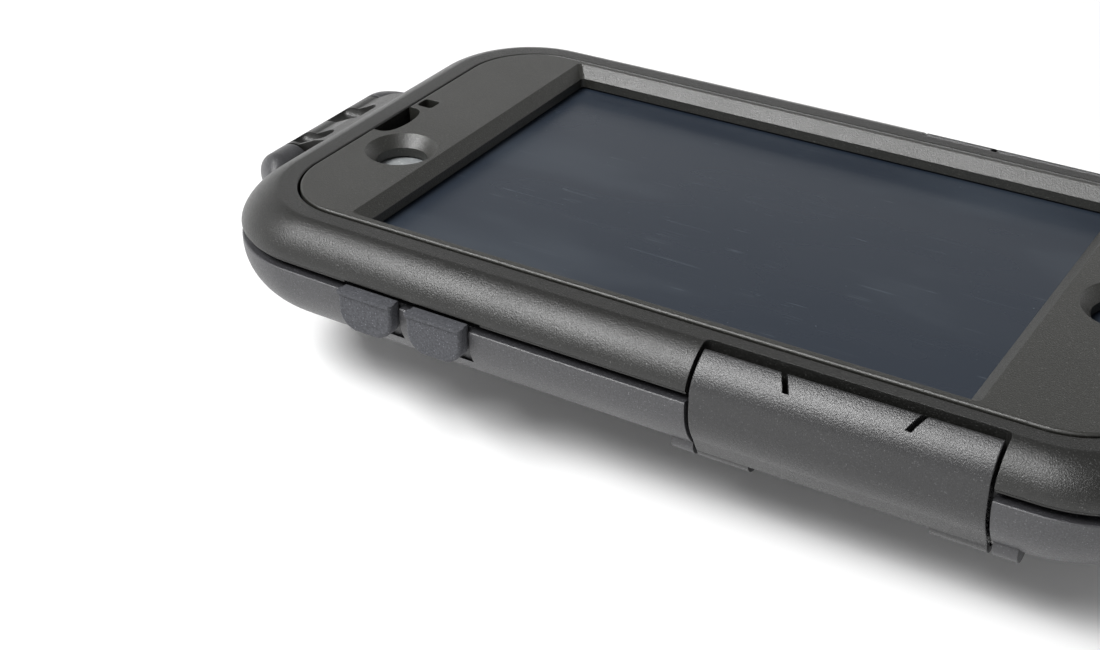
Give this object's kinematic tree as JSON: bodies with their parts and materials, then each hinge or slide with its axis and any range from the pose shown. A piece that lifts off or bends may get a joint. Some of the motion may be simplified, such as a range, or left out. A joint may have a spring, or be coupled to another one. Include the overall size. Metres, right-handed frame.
{
  "type": "bicycle phone case",
  "caption": "Hard weather-sealed phone case with a hinged windowed lid, side latches, side buttons and a quarter-turn foot for a handlebar mount.",
  "frame": {"origin": "centre of the mount foot's flat underside, which the case rests on", "axes": "+X from the hinge end to the bottom end of the phone, +Z out of the window, -Y the side with the buttons"},
  "size_m": [0.1396, 0.0771, 0.0262],
  "materials": {
    "case_plastic": "fine moulded texture, satin",
    "plate_plastic": "fine moulded texture, matt",
    "latch_plastic": "fine moulded texture, satin",
    "button_rubber": "matt, speckled",
    "seal_rubber": "matt",
    "liner_rubber": "matt",
    "touch_film": "glossy smoked film",
    "clear_pane": "clear",
    "pin_steel": "bright",
    "foot_plastic": "fine moulded texture"
  },
  "bodies": {
    "back_case": {"back_shell": "case_plastic", "case_seal": "seal_rubber", "button_seal": "seal_rubber", "phone_liner": "liner_rubber", "rear_camera_window": "clear_pane", "lid_hinge_pin": "pin_steel", "latch_pin_left": "pin_steel", "latch_pin_right": "pin_steel", "mount_foot": "foot_plastic", "mount_screw_1": "pin_steel", "mount_screw_2": "pin_steel", "mount_screw_3": "pin_steel", "mount_screw_4": "pin_steel"},
    "front_lid": {"front_cover": "case_plastic", "front_plate": "plate_plastic", "window_film": "touch_film", "camera_lens": "clear_pane"},
    "left_latch": {"latch_left": "latch_plastic"},
    "right_latch": {"latch_right": "latch_plastic"},
    "volume_up": {"volume_up_button": "button_rubber"},
    "volume_down": {"volume_down_button": "button_rubber"}
  },
  "joints": [
    {"name": "lid_hinge", "type": "hinge", "parent": "back_case", "child": "front_lid", "pos_m": [-0.0694, -0.0021, 0.0202], "axis": [0, -1, 0], "range_deg": [0, 110]},
    {"name": "latch_left_hinge", "type": "hinge", "parent": "back_case", "child": "left_latch", "pos_m": [0.02775, -0.0331, 0.0121], "axis": [1, 0, 0], "range_deg": [0, 100]},
    {"name": "latch_right_hinge", "type": "hinge", "parent": "back_case", "child": "right_latch", "pos_m": [0.02775, 0.0331, 0.0121], "axis": [-1, 0, 0], "range_deg": [0, 100]},
    {"name": "volume_up_press", "type": "slide", "parent": "back_case", "child": "volume_up", "axis": [0, 1, 0], "range_m": [0, 0.0007], "stiffness_N_per_m": 600},
    {"name": "volume_down_press", "type": "slide", "parent": "back_case", "child": "volume_down", "axis": [0, 1, 0], "range_m": [0, 0.0007], "stiffness_N_per_m": 600}
  ]
}
